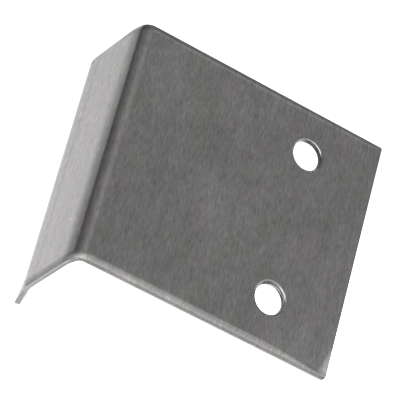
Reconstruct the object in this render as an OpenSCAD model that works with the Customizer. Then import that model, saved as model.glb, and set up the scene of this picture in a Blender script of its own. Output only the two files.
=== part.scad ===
// Cutting board clip: one strip of stainless sheet, folded into a hook.
// A flat plate with two screw holes, a right-angle fold to a flange, and a short lip
// that leans in under the plate. The outer edges and the hole rims are rolled over by
// the press, and the edges behind them are square.
// Frame: the origin is midway between the screw holes, on the plate's inner face, which
// seats on the board. +X runs from the fold to the plate's free edge, +Y along the fold,
// +Z out of the plate's outer face.

/* [Sheet] */
// Thickness of the sheet
sheet_t = 1.2; // [0.9:0.1:1.6]
// Width of the clip, along the folds
clip_w = 50.8; // [44:0.1:80]

/* [Plate] */
// Length of the plate, from the flange's outer face to the free edge
plate_l = 54.5; // [34:0.1:90]
// Corner radius where the free edge meets the near side, at low Y
corner_near_r = 0.9; // [0.3:0.1:2]
// Corner radius where the free edge meets the far side, at high Y
corner_far_r = 0.4; // [0.3:0.1:2]

/* [Screw holes] */
// Diameter of each screw hole
hole_d = 6.0; // [4:0.1:8]
// Distance between the two hole centres
hole_pitch = 31.2; // [16:0.1:32]
// Distance from the free edge to the hole centres
hole_inset = 15.2; // [8:0.1:20]
// Distance from the middle of the clip's width to the middle of the hole pair
hole_shift = 0.2; // [-1:0.1:1]
// Rim radius of the near hole, at low Y
rim_near_r = 0.7; // [0.2:0.05:0.8]
// Rim radius of the far hole, at high Y
rim_far_r = 0.3; // [0.2:0.05:0.8]

/* [Folds] */
// Inner radius of the fold between plate and flange
fold_r = 1.6; // [0.6:0.05:3]
// Depth of the flange, from the plate's outer face to the start of the lip's bend
flange_l = 19; // [10:0.1:34]
// Inner radius of the bend between flange and lip
lip_bend_r = 9.7; // [3:0.1:14]
// Angle that the lip leans in by
lip_angle = 19; // [8:1:40]
// Straight length of the lip, from its bend to its tip
lip_l = 5.5; // [3:0.1:12]

/* [Edges] */
// Radius of the shallow draw-in that leads to each rolled edge
draw_r = 3.2; // [1.5:0.1:4]
// Angle that the draw-in turns through before the tight nose begins
draw_angle = 26; // [10:1:30]
// Radius of the tight nose at each rolled edge
nose_r = 0.3; // [0.15:0.05:0.4]
// Radius of the rolled tip of the lip
tip_r = 0.95; // [0.4:0.05:1.2]
// Corner radius at the two ends of the lip's tip
tip_corner_r = 0.6; // [0.3:0.1:2]

/* [Hidden] */
$fn = 96;

// Cutters reach this far past what they cut
past = 1;
// Straight lengths between the folds
plate_run = plate_l - fold_r - sheet_t;
flange_run = flange_l - fold_r - sheet_t;
// The nose crosses the draw-in and the sheared edge at this slight angle
nose_kink = 8;
// Reach of a rolled edge across the face, from the sheared edge to the flat
roll_reach = draw_r * sin(draw_angle) + nose_r * (cos(nose_kink) - sin(draw_angle + nose_kink));
// Centre of the nose, in from the sheared edge and down from the face
nose_in = nose_r * cos(nose_kink);
nose_down = draw_r * (1 - cos(draw_angle)) + nose_r * cos(draw_angle + nose_kink);
// The nose's cutter ends here, just past its crossing with the draw-in
nose_end = nose_in - nose_r * sin(draw_angle);
// The tip's roll stays inside the sheet
tip_roll_r = min(tip_r, sheet_t - 0.1);
// The pressed lip is this much smaller all round than the bend, and starts this far inside it
lip_draft = 0.01;

// What a rolled edge loses: the sheared edge lies along u = 0 with the sheet on its +u side,
// and the outer face is n = 0 with the sheet below it.
module roll_waste() {
    difference() {
        translate([-past, -draw_r])
            square([roll_reach + past, draw_r + past]);
        translate([roll_reach, -draw_r])
            circle(r = draw_r);
    }
    difference() {
        translate([-past, -nose_down])
            square([nose_end + past, nose_down + past]);
        translate([nose_in, -nose_down])
            circle(r = nose_r);
    }
}

// The same for an edge rounded with one radius, as at the lip's tip.
module round_waste(r) {
    difference() {
        translate([-past, -r])
            square([r + past, r + past]);
        translate([r, -r])
            circle(r = r);
    }
}

// Cross-section of the sheet: x is its depth, with the outer face at 0, and y its width.
// It can be drawn smaller all round by draft.
module sheet_section(draft = 0) {
    difference() {
        translate([draft - sheet_t, draft - clip_w / 2])
            square([sheet_t - 2 * draft, clip_w - 2 * draft]);
        for (side = [0, 1])
            mirror([0, side])
                translate([-draft, draft - clip_w / 2])
                    mirror([1, -1])
                        roll_waste();
    }
}

// A flat stretch of sheet, which runs along +Z from z = 0.
module straight(run, draft = 0) {
    linear_extrude(height = run)
        sheet_section(draft);
}

// A bend of the sheet towards its inner face, about an axis along the width.
module bend(inner_r, angle) {
    translate([-sheet_t - inner_r, 0, 0])
        rotate([90, 0, 0])
            rotate_extrude(angle = angle)
                translate([sheet_t + inner_r, 0])
                    sheet_section();
}

// Puts what follows a bend at the bend's far end.
module after_bend(inner_r, angle) {
    translate([-sheet_t - inner_r, 0, 0])
        rotate([0, -angle, 0])
            translate([sheet_t + inner_r, 0, 0])
                children();
}

// Runs an edge's waste along the end of the sheet at z = 0, with the sheet on +Z.
module end_waste() {
    rotate([-90, -90, 0])
        linear_extrude(height = clip_w + 2 * past, center = true)
            children();
}

// Rounds the corner of that end on the low Y side, or on the high Y side for side = 1.
module corner_waste(r, side) {
    mirror([0, side, 0])
        translate([-sheet_t / 2, -clip_w / 2, 0])
            rotate([0, -90, 0])
                linear_extrude(height = sheet_t + 2 * past, center = true)
                    difference() {
                        translate([-past, -past])
                            square(r + past);
                        translate([r, r])
                            circle(r = r);
                    }
}

// The straight part of the lip, with its rolled tip.
module lip() {
    difference() {
        translate([0, 0, -lip_draft])
            straight(lip_l + lip_draft, lip_draft);
        translate([-lip_draft, 0, lip_l])
            mirror([0, 0, 1]) {
                end_waste()
                    round_waste(tip_roll_r);
                for (side = [0, 1])
                    corner_waste(tip_corner_r, side);
            }
    }
}

// The straight part of the plate, from its rolled free edge to the fold.
module plate() {
    difference() {
        straight(plate_run);
        end_waste()
            roll_waste();
        corner_waste(corner_near_r, 0);
        corner_waste(corner_far_r, 1);
    }
}

// The whole strip, followed from the plate's free edge to the lip's tip.
module folded_strip() {
    plate();
    translate([0, 0, plate_run]) {
        bend(fold_r, 90);
        after_bend(fold_r, 90) {
            straight(flange_run);
            translate([0, 0, flange_run]) {
                bend(lip_bend_r, lip_angle);
                after_bend(lip_bend_r, lip_angle)
                    lip();
            }
        }
    }
}

// A screw hole with its rolled rim, on the plate's outer face.
module screw_hole(rim_r) {
    translate([0, 0, -sheet_t - past])
        cylinder(d = hole_d, h = sheet_t + 2 * past);
    rotate_extrude()
        translate([hole_d / 2, 0])
            round_waste(rim_r);
}

module clip() {
    color("silver")
        translate([0, 0, sheet_t])
            difference() {
                translate([hole_inset, -hole_shift, 0])
                    rotate([0, -90, 0])
                        folded_strip();
                translate([0, -hole_pitch / 2, 0])
                    screw_hole(rim_near_r);
                translate([0, hole_pitch / 2, 0])
                    screw_hole(rim_far_r);
            }
}

clip();
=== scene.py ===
import math

import bpy
from mathutils import Matrix, Vector


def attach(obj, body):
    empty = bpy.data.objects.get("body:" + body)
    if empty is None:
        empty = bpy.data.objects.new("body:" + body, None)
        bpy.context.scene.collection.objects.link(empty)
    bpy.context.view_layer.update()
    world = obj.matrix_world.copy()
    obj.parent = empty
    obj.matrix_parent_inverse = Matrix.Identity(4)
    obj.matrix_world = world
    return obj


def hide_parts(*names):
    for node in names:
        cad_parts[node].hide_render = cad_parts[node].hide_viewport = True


# Sizes are in millimetres until a piece is finished
MM = 0.001

SHEET = 1.2
NEAR_Y, FAR_Y = -25.6, 25.2
MIDDLE_Y = (NEAR_Y + FAR_Y) / 2
FREE_X, FLANGE_X = 15.2, -39.3
# Short runs of the plate from its free edge, where the roll of its near edge narrows
PLATE_RUNS = (2, 2, 2.5, 3, 3.5, 4)
# The fold is tight beside the plate and eases out along the top of the flange
FOLD_R, FOLD_ANGLE, FOLD_STEPS = 2.5, math.radians(76), 14
EASE_R, EASE_ANGLE, EASE_STEPS = 15.0, math.radians(14), 6

# Where the outer faces of flange and lip would meet, and where the lip would end but for its roll
KNEE_Z, LIP_END_Z = -19.0, -26.55
LIP_R, LIP_ANGLE, LIP_STEPS = 10.9, math.radians(20.5), 16
LIP_BEND_Z = KNEE_Z + LIP_R * math.tan(LIP_ANGLE / 2)
LIP_LONG = (KNEE_Z - LIP_END_Z) / math.cos(LIP_ANGLE) - LIP_R * math.tan(LIP_ANGLE / 2)
LIP_CENTRE = Vector((FLANGE_X + LIP_R, 0, LIP_BEND_Z))
LIP_ALONG = Vector((math.sin(LIP_ANGLE), 0, -math.cos(LIP_ANGLE)))
LIP_OUT = Vector((-math.cos(LIP_ANGLE), 0, -math.sin(LIP_ANGLE)))
LIP_TIP = LIP_CENTRE + LIP_OUT * LIP_R + LIP_ALONG * LIP_LONG
# The lip's bend is pressed out to this radius on the outside
LIP_SHARP_R = 5.0
# The last run of the lip holds its rolled tip, which reaches down to the foot
TIP_LONG, TIP_ROLL_R = 1.9, 0.95
FOOT_Z = -26.285
# Along the lip the near side's roll is shallower by this share, in full past this length
FILL_SHARE, FILL_LONG = 0.6, 2.5
# The near end of the lip flares back outwards by this much, over this length
FLARE, FLARE_LONG = 0.85, 6.0

NEAR_CORNER_R, FAR_CORNER_R, TIP_CORNER_R = 0.9, 0.4, 0.6
CORNER_STEPS = 8
INNER_EDGE_R, INNER_EDGE_STEPS = 0.04, 2
# A rolled edge: a shallow draw-in, then a tight nose down to the sheared edge
DRAW_R, DRAW_ANGLE = 3.2, math.radians(26)
NOSE_R, NOSE_STEPS = 0.3, 4
ROLL_REACH = NOSE_R + (DRAW_R - NOSE_R) * math.sin(DRAW_ANGLE)
ROLL_DROP = DRAW_R * (1 - math.cos(DRAW_ANGLE)) + NOSE_R * math.cos(DRAW_ANGLE)
# The draw-in is drawn at these insets. The corners close up at their own radii, which are among them
CORNER_INSETS = (FAR_CORNER_R, TIP_CORNER_R, NEAR_CORNER_R)
DRAW_INSETS = (*CORNER_INSETS, 1.15, 1.37, ROLL_REACH)
# A corner's last vertices come together there, nearer to each other than this share of the inset
CLOSED_UP = 0.075
# Near the free edge the near side's roll narrows to this share of its reach
NARROWEST, NARROW_LONG = 0.35, 13.0

HOLE_R, HOLE_PITCH, HOLE_SIDES = 3.0, 31.2, 96
# Where each screw hole is along Y, and its rim's radius
HOLES = ((-HOLE_PITCH / 2, 0.7), (HOLE_PITCH / 2, 0.3))
RIM_STEPS, RIM_ANGLE = 10, math.radians(80)
# The holes' cutter starts this far below the inner face and ends this far past the rim
CUTTER_BELOW, CUTTER_PAST = 0.5, 0.4

# Two vertices this close stand at one place
SAME_PLACE = 0.001
# Faces, edges and vertices are found to within this much of their place
NEARLY = 0.01

# The photograph is square, and the lens shows 36 mm of film at this focal length
CAMERA_PLACE = Vector((-212.81, -268.45, 444.81)) * MM
CAMERA_AIM = Vector((-16.166, -0.388, -4.728)) * MM
CAMERA_ROLL = math.radians(57.9236)
CAMERA_LENS = 272.258
FILM_WIDTH = 36.0

FLOOR_Z = -140 * MM
# Each softbox stands a metre away in this direction, with its width, height and brightness
SOFTBOXES = (
    ("overhead", (-0.4, -0.3, 0.85), 0.8, 0.8, 1.32),
    ("crown", (0.3, -0.25, 0.9), 0.5, 0.5, 0.17),
    ("left_low", (-0.95, -0.3, 0.03), 0.6, 0.33, 1.7),
    ("front_high", (0.0, -0.7, 0.7), 1.0, 0.6, 0.37),
    ("right_high", (0.5, 0.05, 0.85), 0.7, 0.7, 0.38),
    ("right_low", (0.95, 0.1, 0.1), 0.6, 0.6, 1.15),
    ("back_high", (-0.4, 0.4, 0.8), 0.6, 0.6, 0.18),
    ("back_top", (0.15, 0.7, 0.68), 0.35, 0.35, 0.26),
    ("back_right", (0.6, 0.6, 0.5), 0.7, 0.7, 0.07),
    ("near_low", (0.33, -0.93, 0.05), 0.9, 0.4, 0.28),
)
# The white floor is lit from below: the middle, reach and brightness of each pool of light
FLOOR_POOLS = (
    ((-0.03, 0.08, FLOOR_Z), 0.2, 0.4),
    ((-0.05, 0.02, FLOOR_Z), 0.12, 1.1),
    ((-0.12, 0.16, FLOOR_Z), 0.15, 0.7),
    ((0.0, -0.11, FLOOR_Z), 0.1, 0.63),
    ((0.09, -0.11, FLOOR_Z), 0.1, 0.95),
    ((0.09, 0.05, FLOOR_Z), 0.09, 1.2),
    ((0.27, -0.14, FLOOR_Z), 0.15, 0.7),
    ((-0.1, -0.3, FLOOR_Z), 0.3, 2.4),
)
ROOM_GREY = 0.17

STEEL = (0.632, 0.617, 0.614)
TINGE = (0.065, -0.04, 0.1)
BUMP_DEPTH = 0.004 * MM
# Patterns of the steel: grains a millimetre along each axis, detail and roughness
GRAIN = ((4.0, 0.7, 4.0), 3.0, 0.6)
STREAKS = ((2.2, 0.07, 2.2), 2.0, 0.5)
MOTTLE = ((0.6, 0.45, 0.45), 2.0, 0.5)
BLOTCHES = ((0.14, 0.1, 0.14), 3.0, 0.5)
TINT = ((0.25, 0.15, 0.25), 3.0, 0.5)
# Broad soft patches of painted sheen on the plate, the last one painted shade beside the fold: where along X
# and Y, reach and strength
PAINTED_SHEEN = (
    (-12.0, -5.0, 14.0, 0.13),
    (-30.0, 15.0, 9.0, 0.1),
    (8.0, -20.0, 10.0, 0.09),
    (-34.0, -11.0, 9.0, -0.08),
)
# Marks on the flange, each with its brightness as a share of the steel's
FLANGE_LINE_Z, FLANGE_LINE_TONE = -15.3, 0.87
FAR_LINE_Y, FAR_LINE_TONE = 24.1, 0.7
# Spots on the flange: where along Y and Z, length, width and turn from the Y axis
NICK, NICK_TONE = (23.8, -18.1, 0.55, 0.5, 0), 0.3
SCUFF_TONE = 1.15
SCUFFS = (
    (16.5, -12.9, 0.5, 1.1, 0),
    (11.1, -16.1, 0.6, 0.8, 0),
    (8.0, -10.5, 0.4, 0.8, 0),
    (0.6, -4.3, 0.6, 0.6, 0),
    (-16.0, -5.3, 1.9, 0.3, 111),
)
# The lip's painted highlight on its bend and painted shade on its near end, as shares of the steel's
# brightness
LIP_BEND_HIGHLIGHT, LIP_END_SHADE = 1.12, 0.75
# The normal of the plate's near corner leans by this much
CORNER_LEAN = (-0.33, -0.33, 0)


def select(kind, test):
    """Selects the vertices, edges or faces that pass the test, and nothing else."""
    mesh = bpy.context.object.data
    bpy.ops.object.mode_set(mode="OBJECT")
    for parts in (mesh.vertices, mesh.edges, mesh.polygons):
        parts.foreach_set("select", [False] * len(parts))
    bpy.context.tool_settings.mesh_select_mode = (kind == "VERT", kind == "EDGE", kind == "FACE")
    if kind == "VERT":
        for vertex in mesh.vertices:
            vertex.select = test(vertex.co)
    elif kind == "EDGE":
        for edge in mesh.edges:
            start, end = (mesh.vertices[i].co for i in edge.vertices)
            edge.select = test((start + end) / 2, (end - start).normalized())
    else:
        for face in mesh.polygons:
            face.select = test(face.center, face.normal)
    bpy.ops.object.mode_set(mode="EDIT")


def extrude(x, z):
    """Pulls what is selected along X and Z, and leaves its new end selected."""
    bpy.ops.mesh.extrude_region_move(TRANSFORM_OT_translate={"value": (x, 0, z)})


def face_outwards():
    bpy.ops.mesh.select_all(action="SELECT")
    bpy.ops.mesh.normals_make_consistent(inside=False)


def move_vertices(moves):
    """Moves each vertex that stands at one of the places."""
    for place, move in moves:
        select("VERT", lambda point: (point - place).length < SAME_PLACE)
        bpy.ops.transform.translate(value=move)


def down_lip(point):
    """How far down the lip a point is from the end of its bend."""
    return (point - LIP_TIP) @ LIP_ALONG + LIP_LONG


def off_lip_skin(point):
    """How far out of the lip's outer face a point is, which is below zero inside the sheet."""
    return (point - LIP_TIP) @ LIP_OUT


def roll_profile():
    """Points of a rolled edge, in from the sheared edge and down from the outer face."""
    points = [(0, -ROLL_DROP)]
    for step in range(1, NOSE_STEPS + 1):
        turn = math.pi / 2 + (DRAW_ANGLE - math.pi / 2) * step / NOSE_STEPS
        points.append((NOSE_R - NOSE_R * math.sin(turn), NOSE_R * math.cos(turn) - ROLL_DROP))
    for inset in DRAW_INSETS:
        points.append((inset, math.sqrt(DRAW_R ** 2 - (ROLL_REACH - inset) ** 2) - DRAW_R))
    return points


def fold_strip():
    """Folds the strip, as thick as its sheared edges and still without its rolled ones."""
    base = SHEET - ROLL_DROP
    bpy.ops.mesh.primitive_plane_add(size=1)
    strip = bpy.context.object
    strip.name = "clip_sheet"
    bpy.ops.object.mode_set(mode="EDIT")
    bpy.ops.transform.resize(value=(base, FAR_Y - NEAR_Y, 1))
    bpy.ops.transform.rotate(value=math.pi / 2, orient_axis="Y", center_override=(0, 0, 0))
    bpy.ops.transform.translate(value=(FREE_X, MIDDLE_Y, base / 2))
    for run in PLATE_RUNS:
        extrude(-run, 0)
    # The rest of the plate, both parts of the fold, the flange, and the lip with its bend
    ease_x = FLANGE_X + EASE_R
    fold_x = ease_x - (EASE_R - FOLD_R) * math.sin(FOLD_ANGLE)
    fold_z = SHEET - FOLD_R
    ease_z = fold_z - (EASE_R - FOLD_R) * math.cos(FOLD_ANGLE)
    extrude(fold_x - FREE_X + sum(PLATE_RUNS), 0)
    bpy.ops.mesh.spin(steps=FOLD_STEPS, angle=FOLD_ANGLE, center=(fold_x, 0, fold_z), axis=(0, 1, 0))
    bpy.ops.mesh.spin(steps=EASE_STEPS, angle=EASE_ANGLE, center=(ease_x, 0, ease_z), axis=(0, 1, 0))
    extrude(0, LIP_BEND_Z - ease_z)
    bpy.ops.mesh.spin(steps=LIP_STEPS, angle=LIP_ANGLE, center=LIP_CENTRE, axis=(0, 1, 0))
    for run in (LIP_LONG - TIP_LONG, TIP_LONG):
        extrude(*(LIP_ALONG * run).xz)
    face_outwards()
    return strip


def round_corners():
    """Rounds the four corners of the strip, seen from its broad side."""
    # The edges that cross the sheet at each corner
    def near_corner(middle, way):
        return abs(way.z) > 0.9 and middle.x > FREE_X - NEARLY and middle.y < 0

    def far_corner(middle, way):
        return abs(way.z) > 0.9 and middle.x > FREE_X - NEARLY and middle.y > 0

    def tip_corner(middle, way):
        return abs(way @ LIP_OUT) > 0.9 and down_lip(middle) > LIP_LONG - NEARLY

    corners = ((NEAR_CORNER_R, near_corner), (FAR_CORNER_R, far_corner), (TIP_CORNER_R, tip_corner))
    for radius, corner in corners:
        select("EDGE", corner)
        bpy.ops.mesh.bevel(offset=radius, segments=CORNER_STEPS, affect="EDGES")


def soften_inner_edges(skin):
    """Breaks the edges all round the inner side of the strip."""
    def inner_side(middle, normal):
        off_ends = middle.x < FREE_X - NEARLY and down_lip(middle) < LIP_LONG - NEARLY
        return abs(normal.y) < 0.1 and normal @ skin < -0.2 and off_ends

    select("FACE", inner_side)
    bpy.ops.mesh.region_to_loop()
    bpy.ops.mesh.bevel(offset=INNER_EDGE_R, segments=INNER_EDGE_STEPS, affect="EDGES")


def roll_outer_edges(profile, skin):
    """Insets the outer skin step by step and lifts it, so that its edges roll over."""
    select("FACE", lambda middle, normal: abs(normal.y) < 0.1 and normal @ skin > 0.2)
    for (inset, depth), (next_inset, next_depth) in zip(profile, profile[1:]):
        bpy.ops.mesh.inset(thickness=next_inset - inset, depth=next_depth - depth, use_even_offset=True)
        if next_inset in CORNER_INSETS:
            bpy.ops.mesh.remove_doubles(threshold=CLOSED_UP * next_inset)


def sharpen_lip_bend():
    """Presses the outside of the lip's bend out to a tighter radius between the same two flats."""
    # The tighter circle's centre, out from the bend's own, and how far the flats go on from each end
    shift = (LIP_R - LIP_SHARP_R) / math.cos(LIP_ANGLE / 2)
    flat_until = math.atan((1 - LIP_SHARP_R / LIP_R) * math.tan(LIP_ANGLE / 2))
    for step in range(1, LIP_STEPS):
        turn = LIP_ANGLE * step / LIP_STEPS
        way = Vector((-math.cos(turn), 0, -math.sin(turn)))
        from_end = min(turn, LIP_ANGLE - turn)
        off = LIP_ANGLE / 2 - from_end
        if from_end < flat_until:
            reach = LIP_R / math.cos(from_end)
        else:
            reach = shift * math.cos(off) + math.sqrt(LIP_SHARP_R ** 2 - (shift * math.sin(off)) ** 2)

        def outside(point):
            spoke = Vector((point.x, 0, point.z)) - LIP_CENTRE
            out = spoke @ way
            return out > LIP_R - ROLL_DROP - NEARLY and (spoke - way * out).length < 2 * NEARLY

        select("VERT", outside)
        bpy.ops.transform.translate(value=way * (reach - LIP_R))


def roll_tip():
    """Presses the skin down to the larger roll of the lip's tip."""
    bpy.ops.object.mode_set(mode="OBJECT")
    moves = []
    for vertex in bpy.context.object.data.vertices:
        inset = max(0, LIP_LONG - down_lip(vertex.co))
        depth = off_lip_skin(vertex.co)
        if inset < TIP_ROLL_R and depth > -ROLL_DROP - NEARLY:
            rolled = math.sqrt(TIP_ROLL_R ** 2 - (TIP_ROLL_R - inset) ** 2) - TIP_ROLL_R
            if rolled < depth - SAME_PLACE:
                moves.append((vertex.co.copy(), LIP_OUT * (rolled - depth)))
    move_vertices(moves)


def fill_lip_end():
    """Lifts the near side's roll again along the lip, where the press left it fuller."""
    bpy.ops.object.mode_set(mode="OBJECT")
    moves = []
    for vertex in bpy.context.object.data.vertices:
        depth = off_lip_skin(vertex.co)
        down = down_lip(vertex.co)
        near = vertex.co.y < NEAR_Y + ROLL_REACH + NEARLY
        if near and down > 0.1 and -ROLL_DROP - NEARLY < depth < -SAME_PLACE:
            # The tip doesn't reach any lower than the foot
            room = (vertex.co.z - FOOT_Z) / -LIP_OUT.z
            lift = min(-FILL_SHARE * depth * min(1, down / FILL_LONG), room)
            moves.append((vertex.co.copy(), LIP_OUT * lift))
    move_vertices(moves)


def flare_lip_end():
    """Turns the near end of the lip outwards, more and more down to its tip."""
    # Two cuts across the lip let it bend there
    for share in (0.5, 1.0):
        select("FACE", lambda middle, normal: down_lip(middle) > 0)
        bpy.ops.mesh.bisect(plane_co=(0, NEAR_Y + share * FLARE_LONG, 0), plane_no=(0, 1, 0))
    bpy.ops.object.mode_set(mode="OBJECT")
    moves = []
    for vertex in bpy.context.object.data.vertices:
        down = down_lip(vertex.co) / LIP_LONG
        near = 1 - (vertex.co.y - NEAR_Y) / FLARE_LONG
        if down > 0.02 and near > 0.02:
            moves.append((vertex.co.copy(), (-FLARE * down * near ** 2, 0, 0)))
    move_vertices(moves)


def narrow_near_roll(profile):
    """Draws the near side's roll in towards the edge, more and more up to the corner."""
    bpy.ops.object.mode_set(mode="OBJECT")
    centre = Vector((FREE_X - NEAR_CORNER_R, NEAR_Y + NEAR_CORNER_R, 0))
    moves = []
    for inset, depth in profile[1:]:
        for vertex in bpy.context.object.data.vertices:
            x, y, z = vertex.co
            if abs(z - SHEET - depth) > 0.002 or x < centre.x - NARROW_LONG or y > NEAR_Y + 3:
                continue
            if abs(y - NEAR_Y - inset) < 0.003:
                # Along the near side
                share = min(1, max(0, (centre.x - x) / NARROW_LONG))
                kept = NARROWEST + (1 - NARROWEST) * share ** 2 * (3 - 2 * share)
                moves.append((vertex.co.copy(), (0, (kept - 1) * inset, 0)))
            elif inset < NEAR_CORNER_R and x > centre.x and y < centre.y + 0.003:
                # Round the corner
                way = Vector((x - centre.x, y - centre.y, 0)).normalized()
                kept = 1 + (1 - NARROWEST) * math.atan2(way.y, way.x) * 2 / math.pi
                moves.append((vertex.co.copy(), way * (1 - kept) * inset))
    move_vertices(moves)


def punch_hole(strip, y, rim):
    """Cuts a screw hole with a rolled rim on the outer face."""
    # The cutter widens below the hole, to break the inner edge, and follows the rim above it
    start_r, start_z = HOLE_R + INNER_EDGE_R + CUTTER_BELOW, -CUTTER_BELOW
    rings = [(HOLE_R, INNER_EDGE_R), (HOLE_R, SHEET - rim)]
    for step in range(1, RIM_STEPS + 1):
        turn = RIM_ANGLE * step / RIM_STEPS
        rings.append((HOLE_R + rim - rim * math.cos(turn), SHEET - rim + rim * math.sin(turn)))
    end_r, end_z = rings[-1]
    rings.append((end_r + CUTTER_PAST * math.sin(turn), end_z + CUTTER_PAST * math.cos(turn)))
    bpy.ops.object.mode_set(mode="OBJECT")
    bpy.ops.object.select_all(action="DESELECT")
    bpy.ops.mesh.primitive_circle_add(vertices=HOLE_SIDES, radius=start_r, fill_type="NGON",
                                      location=(0, y, start_z))
    cutter = bpy.context.object
    bpy.ops.object.transform_apply(location=True)
    bpy.ops.object.mode_set(mode="EDIT")
    bpy.ops.mesh.select_all(action="SELECT")
    last_r, last_z = start_r, start_z
    for r, z in rings:
        extrude(0, z - last_z)
        bpy.ops.transform.resize(value=(r / last_r, r / last_r, 1), center_override=(0, y, 0))
        last_r, last_z = r, z
    face_outwards()
    bpy.ops.object.mode_set(mode="OBJECT")
    bpy.ops.object.select_all(action="DESELECT")
    bpy.context.view_layer.objects.active = strip
    strip.select_set(True)
    cut = strip.modifiers.new("screw_hole", "BOOLEAN")
    cut.operation = "DIFFERENCE"
    cut.solver = "EXACT"
    cut.object = cutter
    bpy.ops.object.modifier_apply(modifier=cut.name)
    bpy.data.objects.remove(cutter)


def finish_piece(piece):
    """Gives the piece its shading, and turns its millimetres into metres."""
    bpy.ops.object.shade_smooth_by_angle(angle=math.radians(35))
    weighted = piece.modifiers.new("weighted", "WEIGHTED_NORMAL")
    weighted.keep_sharp = True
    bpy.ops.object.modifier_apply(modifier=weighted.name)
    piece.scale = (MM, MM, MM)
    bpy.ops.object.transform_apply(scale=True)


def make_clip_sheet():
    bpy.ops.object.select_all(action="DESELECT")
    profile = roll_profile()
    # The outer skin of every stretch leans towards this direction
    skin = Vector((-1, 0, 0.9)).normalized()
    strip = fold_strip()
    round_corners()
    soften_inner_edges(skin)
    roll_outer_edges(profile, skin)
    sharpen_lip_bend()
    roll_tip()
    fill_lip_end()
    flare_lip_end()
    narrow_near_roll(profile)
    for y, rim in HOLES:
        punch_hole(strip, y, rim)
    finish_piece(strip)
    return strip


def make_camera():
    data = bpy.data.cameras.new("camera")
    data.lens = CAMERA_LENS
    data.sensor_width = FILM_WIDTH
    data.clip_start = 0.01
    data.clip_end = 10
    camera = bpy.data.objects.new("camera", data)
    level = (CAMERA_AIM - CAMERA_PLACE).to_track_quat("-Z", "Y").to_matrix().to_4x4()
    camera.matrix_world = Matrix.Translation(CAMERA_PLACE) @ level @ Matrix.Rotation(CAMERA_ROLL, 4, "Z")
    bpy.context.scene.collection.objects.link(camera)
    bpy.context.scene.camera = camera


def add(tree, kind, inputs=None, **settings):
    """Adds a node; an input is a value, or the output that feeds it."""
    node = tree.nodes.new(kind)
    for name, value in settings.items():
        setattr(node, name, value)
    for place, value in (inputs or {}).items():
        if isinstance(value, bpy.types.NodeSocket):
            tree.links.new(value, node.inputs[place])
        else:
            node.inputs[place].default_value = value
    return node


def calc(tree, operation, *values):
    return add(tree, "ShaderNodeMath", dict(enumerate(values)), operation=operation).outputs[0]


def calc_vector(tree, operation, *values):
    return add(tree, "ShaderNodeVectorMath", dict(enumerate(values)), operation=operation).outputs["Vector"]


def measure(tree, operation, *values):
    """A distance, a length or a dot product of vectors."""
    return add(tree, "ShaderNodeVectorMath", dict(enumerate(values)), operation=operation).outputs["Value"]


def scaled(tree, vector, factor):
    return add(tree, "ShaderNodeVectorMath", {0: vector, "Scale": factor}, operation="SCALE").outputs[0]


def ramp(tree, value, low, high, start=0.0, end=1.0, smooth=False):
    """Start where the value is low, end where it is high, and even in between."""
    kind = "SMOOTHSTEP" if smooth else "LINEAR"
    inputs = {"Value": value, "From Min": low, "From Max": high, "To Min": start, "To Max": end}
    return add(tree, "ShaderNodeMapRange", inputs, interpolation_type=kind).outputs["Result"]


def make_studio():
    """Softboxes round the clip, in a grey room that the camera sees as white."""
    for name, way, width, height, brightness in SOFTBOXES:
        data = bpy.data.lights.new(name, "AREA")
        data.shape = "RECTANGLE"
        data.size, data.size_y = width, height
        data.energy = math.pi * width * height * brightness
        light = bpy.data.objects.new(name, data)
        light.location = Vector(way).normalized()
        light.rotation_euler = (-light.location).to_track_quat("-Z", "Y").to_euler()
        bpy.context.scene.collection.objects.link(light)
    world = bpy.data.worlds.new("studio")
    bpy.context.scene.world = world
    world.use_nodes = True
    tree = world.node_tree
    seen = add(tree, "ShaderNodeLightPath").outputs["Is Camera Ray"]
    tree.links.new(ramp(tree, seen, 0, 1, ROOM_GREY, 1), tree.nodes["Background"].inputs["Strength"])
    tree.nodes["Background"].inputs["Color"].default_value = (1, 1, 1, 1)
    bpy.context.scene.view_settings.view_transform = "Standard"


def make_floor():
    bpy.ops.object.select_all(action="DESELECT")
    bpy.ops.mesh.primitive_plane_add(size=6, location=(0, 0, FLOOR_Z))
    floor = bpy.context.object
    floor.name = "floor"
    mat = bpy.data.materials.new("white_floor")
    mat.use_nodes = True
    tree = mat.node_tree
    shader = tree.nodes["Principled BSDF"]
    shader.inputs["Base Color"].default_value = (0.1, 0.1, 0.1, 1)
    shader.inputs["Roughness"].default_value = 0.8
    shader.inputs["Specular IOR Level"].default_value = 0
    shader.inputs["Emission Color"].default_value = (1, 1, 1, 1)
    place = add(tree, "ShaderNodeNewGeometry").outputs["Position"]
    glow = add(tree, "ShaderNodeLightPath").outputs["Is Camera Ray"]
    for middle, reach, brightness in FLOOR_POOLS:
        away = measure(tree, "DISTANCE", place, middle)
        glow = calc(tree, "ADD", glow, ramp(tree, away, reach, 0, 0, brightness, smooth=True))
    tree.links.new(glow, shader.inputs["Emission Strength"])
    floor.data.materials.append(mat)


def stretched_noise(tree, place, scale, detail, roughness):
    """Noise with this many grains a millimetre along each axis."""
    spot = calc_vector(tree, "MULTIPLY", place, scale)
    inputs = {"Vector": spot, "Scale": 1.0, "Detail": detail, "Roughness": roughness}
    return add(tree, "ShaderNodeTexNoise", inputs).outputs[0]


def vary(tree, noise, amount):
    """One, give or take the noise's swing by this amount."""
    return calc(tree, "MULTIPLY_ADD", calc(tree, "SUBTRACT", noise, 0.5), amount, 1.0)


def tone(tree, bright, mask, share):
    """Brings the brightness to this share of it where the mask is one."""
    return calc(tree, "MULTIPLY", bright, ramp(tree, mask, 0, 1, 1, share))


def overlap(tree, mask, *others):
    """One where all the masks are one."""
    for other in others:
        mask = calc(tree, "MULTIPLY", mask, other)
    return mask


def line_mask(tree, value, middle, full, none):
    """One as far as the first distance from the middle value, and nothing past the second."""
    away = calc(tree, "ABSOLUTE", calc(tree, "SUBTRACT", value, middle))
    return ramp(tree, away, none, full)


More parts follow.
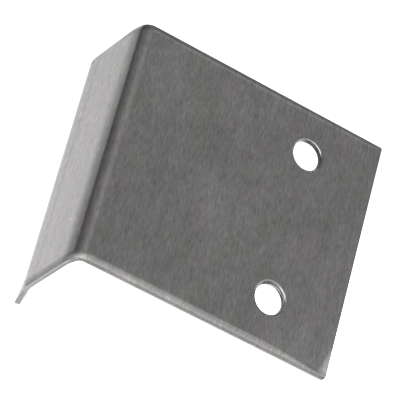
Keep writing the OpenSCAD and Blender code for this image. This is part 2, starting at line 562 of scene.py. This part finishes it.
def spot_mask(tree, place, y, z, length, width, turn):
    """One on a turned oval of the YZ plane, and nothing off it."""
    away = calc_vector(tree, "SUBTRACT", place, (0, y, z))
    turn = math.radians(turn)
    lengthways = (0, math.cos(turn), math.sin(turn))
    sideways = (0, -math.sin(turn), math.cos(turn))
    squares = []
    for size, way in ((length, lengthways), (width, sideways)):
        part = calc(tree, "DIVIDE", measure(tree, "DOT_PRODUCT", away, way), size)
        squares.append(calc(tree, "MULTIPLY", part, part))
    # Its edge is soft
    return ramp(tree, calc(tree, "ADD", *squares), 1.2, 0.3)


def sheared_walls(tree, x, y):
    """One on the sheared edges: the two sides of the strip and its free edge."""
    side = calc(tree, "ABSOLUTE", calc(tree, "SUBTRACT", y, MIDDLE_Y))
    side_wall = ramp(tree, side, FAR_Y - MIDDLE_Y - 0.06, FAR_Y - MIDDLE_Y - 0.01)
    return calc(tree, "MAXIMUM", side_wall, ramp(tree, x, FREE_X - 0.06, FREE_X - 0.01))


def from_hole_axis(tree, x, y):
    """How far a point is from the axis of the nearer screw hole."""
    along = calc(tree, "SUBTRACT", calc(tree, "ABSOLUTE", y), HOLE_PITCH / 2)
    flat = add(tree, "ShaderNodeCombineXYZ", {0: x, 1: along}).outputs[0]
    return measure(tree, "LENGTH", flat)


def add_painted_sheen(tree, bright, x, y):
    """Broad soft patches of painted sheen and painted shade on the plate, which fade out at the fold."""
    flat = add(tree, "ShaderNodeCombineXYZ", {0: x, 1: y}).outputs[0]
    on_plate = ramp(tree, x, -37, -35)
    for middle_x, middle_y, reach, strength in PAINTED_SHEEN:
        away = measure(tree, "DISTANCE", flat, (middle_x, middle_y, 0))
        sheen = overlap(tree, ramp(tree, away, reach, 0, 0, strength, smooth=True), on_plate)
        bright = calc(tree, "MULTIPLY", bright, calc(tree, "ADD", sheen, 1.0))
    return bright


def mark_flange(tree, bright, flange, place, x, y, z):
    """A faint line, a dark far edge, a few bright scuffs, and a nick at the far corner."""
    line = overlap(tree, flange, line_mask(tree, z, FLANGE_LINE_Z, 0.2, 0.8))
    bright = tone(tree, bright, line, FLANGE_LINE_TONE)
    far_line = line_mask(tree, y, FAR_LINE_Y, 0.2, 0.6)
    far_line = overlap(tree, far_line, ramp(tree, x, -37.5, -38.2), ramp(tree, z, -7.5, -6.0))
    bright = tone(tree, bright, far_line, FAR_LINE_TONE)
    scuffs = 0.0
    for scuff in SCUFFS:
        scuffs = calc(tree, "MAXIMUM", scuffs, spot_mask(tree, place, *scuff))
    bright = tone(tree, bright, overlap(tree, flange, scuffs), SCUFF_TONE)
    nick = overlap(tree, spot_mask(tree, place, *NICK), ramp(tree, x, -38.0, -39.0))
    return tone(tree, bright, nick, NICK_TONE)


def paint_lip_highlight_and_shade(tree, bright, place, y, z):
    """The outside of the lip: a painted highlight along its bend, and painted shade on its near end."""
    skin = LIP_R + LIP_OUT @ LIP_CENTRE
    outside = ramp(tree, measure(tree, "DOT_PRODUCT", place, LIP_OUT), skin - 0.8, skin - 0.55)
    bend = overlap(tree, ramp(tree, z, -17.6, -18.8), ramp(tree, z, -20.5, -19.5), outside)
    bright = tone(tree, bright, bend, LIP_BEND_HIGHLIGHT)
    near_end = overlap(tree, ramp(tree, y, NEAR_Y + 1.4, NEAR_Y + 0.9), ramp(tree, z, -18.5, -19.5), outside)
    return tone(tree, bright, near_end, LIP_END_SHADE)


def shade_walls(tree, bright, wall, x):
    """The walls are darker all along, most in the middle of the plate."""
    share = calc(tree, "MAXIMUM", ramp(tree, x, -12, 5, 0.74, 0.92), ramp(tree, x, -30, -38, 0.74, 0.87))
    return tone(tree, bright, wall, share)


def paint_hole_shade_and_highlight(tree, bright, from_axis, x, y):
    """The hole walls are a little dull, with painted shade towards the free edge, and the far hole's rim has
    a painted highlight elsewhere and painted shade towards the free edge.
    """
    far_hole = ramp(tree, y, -1, 1)
    hole_wall = ramp(tree, from_axis, HOLE_R + 0.035, HOLE_R + 0.005)
    # Painted shade on each hole wall towards the free edge
    shade_from = ramp(tree, far_hole, 0, 1, 1.2, -0.3)
    deepest_shade = ramp(tree, far_hole, 0, 1, 0.33, 0.11)
    share = ramp(tree, calc(tree, "SUBTRACT", shade_from, x), 0, 1.3, deepest_shade, 0.9)
    bright = tone(tree, bright, hole_wall, share)
    # Painted highlight on the far hole's rim, and painted shade on its free-edge end
    far_rim_highlight = overlap(tree, far_hole, ramp(tree, from_axis, HOLE_R + 0.5, HOLE_R + 0.3))
    return tone(tree, bright, far_rim_highlight, ramp(tree, x, 2.5, 2.95, 1.5, 0.6))


def steel_colour(tree, bright, tint, flange):
    """The steel at this brightness, with a faint tinge that is weaker on the flange."""
    tint = overlap(tree, calc(tree, "SUBTRACT", tint, 0.5), ramp(tree, flange, 0, 1, 1, 0.4))
    steel = calc_vector(tree, "ADD", STEEL, scaled(tree, TINGE, tint))
    return scaled(tree, steel, bright)


def steel_roughness(tree, grain, wall, rim, x, y, z):
    """Follows the grain; the walls and the fold's stretched near end are duller, the rims shinier."""
    rough = calc(tree, "ADD", ramp(tree, grain, 0.3, 0.7, 0.28, 0.32), ramp(tree, wall, 0, 1, 0, 0.15))
    rough = calc(tree, "SUBTRACT", rough, ramp(tree, rim, 0, 1, 0, 0.08))
    near = ramp(tree, y, NEAR_Y + 1.8, NEAR_Y + 1.2)
    fold_end = overlap(tree, near, ramp(tree, x, -34.0, -36.0), ramp(tree, z, -3.0, -1.5))
    return calc(tree, "ADD", rough, ramp(tree, fold_end, 0, 1, 0, 0.12))


def leaning_normal(tree, x, y):
    """The plate's near corner leans in a little, more widely towards the near side."""
    near = ramp(tree, y, -18.8, -25.0)
    inside = calc(tree, "MULTIPLY_ADD", near, -2.0, calc(tree, "SUBTRACT", FREE_X, x))
    leaning = overlap(tree, ramp(tree, inside, 0.4, -0.4), ramp(tree, near, 0, 0.2))
    leaning = overlap(tree, leaning, ramp(tree, y, -25.0, -23.8, 0.25, 1))
    lean = add(tree, "ShaderNodeVectorTransform", {0: scaled(tree, CORNER_LEAN, leaning)},
               vector_type="VECTOR", convert_from="OBJECT", convert_to="WORLD").outputs[0]
    outwards = add(tree, "ShaderNodeNewGeometry").outputs["Normal"]
    return calc_vector(tree, "NORMALIZE", calc_vector(tree, "ADD", outwards, lean))


def brushed_steel():
    """Brushed along Y, burnished on the rolled edges, and dull where the sheet was sheared."""
    mat = bpy.data.materials.new("brushed_stainless")
    mat.use_nodes = True
    tree = mat.node_tree
    shader = tree.nodes["Principled BSDF"]
    place = scaled(tree, add(tree, "ShaderNodeTexCoord").outputs["Object"], 1 / MM)
    x, y, z = add(tree, "ShaderNodeSeparateXYZ", {0: place}).outputs
    wall = sheared_walls(tree, x, y)
    from_axis = from_hole_axis(tree, x, y)
    rim = ramp(tree, from_axis, HOLE_R + 0.8, HOLE_R + 0.5)
    flange = ramp(tree, x, FLANGE_X + 0.3, FLANGE_X + 0.1)

    # The shear leaves less grain, and the flange has more
    grain = stretched_noise(tree, place, *GRAIN)
    swing = calc(tree, "MULTIPLY", ramp(tree, wall, 0, 1, 1.05, 0.3), ramp(tree, flange, 0, 1, 1, 1.45))
    grain = calc(tree, "MULTIPLY_ADD", calc(tree, "SUBTRACT", grain, 0.5), swing, 0.5)
    streaks = stretched_noise(tree, place, *STREAKS)
    mottle = stretched_noise(tree, place, *MOTTLE)
    blotches = stretched_noise(tree, place, *BLOTCHES)
    tint = stretched_noise(tree, place, *TINT)

    bright = calc(tree, "MULTIPLY", vary(tree, grain, 1.0), vary(tree, streaks, 0.25))
    bright = calc(tree, "MULTIPLY", bright, vary(tree, mottle, ramp(tree, flange, 0, 1, 0.3, 0.15)))
    bright = calc(tree, "MULTIPLY", bright, vary(tree, blotches, ramp(tree, flange, 0, 1, 0.35, 0.1)))
    # Painted sheen and shade on the plate, marks on the flange, painted highlight and shade on the lip,
    # darker walls, and painted shade and highlight at the holes
    bright = add_painted_sheen(tree, bright, x, y)
    bright = mark_flange(tree, bright, flange, place, x, y, z)
    bright = paint_lip_highlight_and_shade(tree, bright, place, y, z)
    bright = shade_walls(tree, bright, wall, x)
    bright = paint_hole_shade_and_highlight(tree, bright, from_axis, x, y)
    tree.links.new(steel_colour(tree, bright, tint, flange), shader.inputs["Base Color"])
    tree.links.new(steel_roughness(tree, grain, wall, rim, x, y, z), shader.inputs["Roughness"])
    shader.inputs["Metallic"].default_value = 1
    shader.inputs["Anisotropic"].default_value = 0.8
    tangent = add(tree, "ShaderNodeTangent", direction_type="RADIAL", axis="Y").outputs[0]
    tree.links.new(tangent, shader.inputs["Tangent"])
    relief = {
        "Height": calc(tree, "ADD", grain, streaks),
        "Strength": 1.0,
        "Distance": BUMP_DEPTH,
        "Normal": leaning_normal(tree, x, y),
    }
    tree.links.new(add(tree, "ShaderNodeBump", relief).outputs[0], shader.inputs["Normal"])
    return mat


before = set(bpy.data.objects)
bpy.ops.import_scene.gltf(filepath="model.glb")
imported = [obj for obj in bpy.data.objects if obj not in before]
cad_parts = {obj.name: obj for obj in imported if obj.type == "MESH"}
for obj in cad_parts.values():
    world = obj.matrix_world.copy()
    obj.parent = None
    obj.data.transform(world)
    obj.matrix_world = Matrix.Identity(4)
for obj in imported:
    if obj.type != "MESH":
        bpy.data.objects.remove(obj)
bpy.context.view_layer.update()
make_camera()
make_studio()
make_floor()
clip_sheet = make_clip_sheet()
clip_sheet.data.materials.append(brushed_steel())
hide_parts("clip")
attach(clip_sheet, "root")
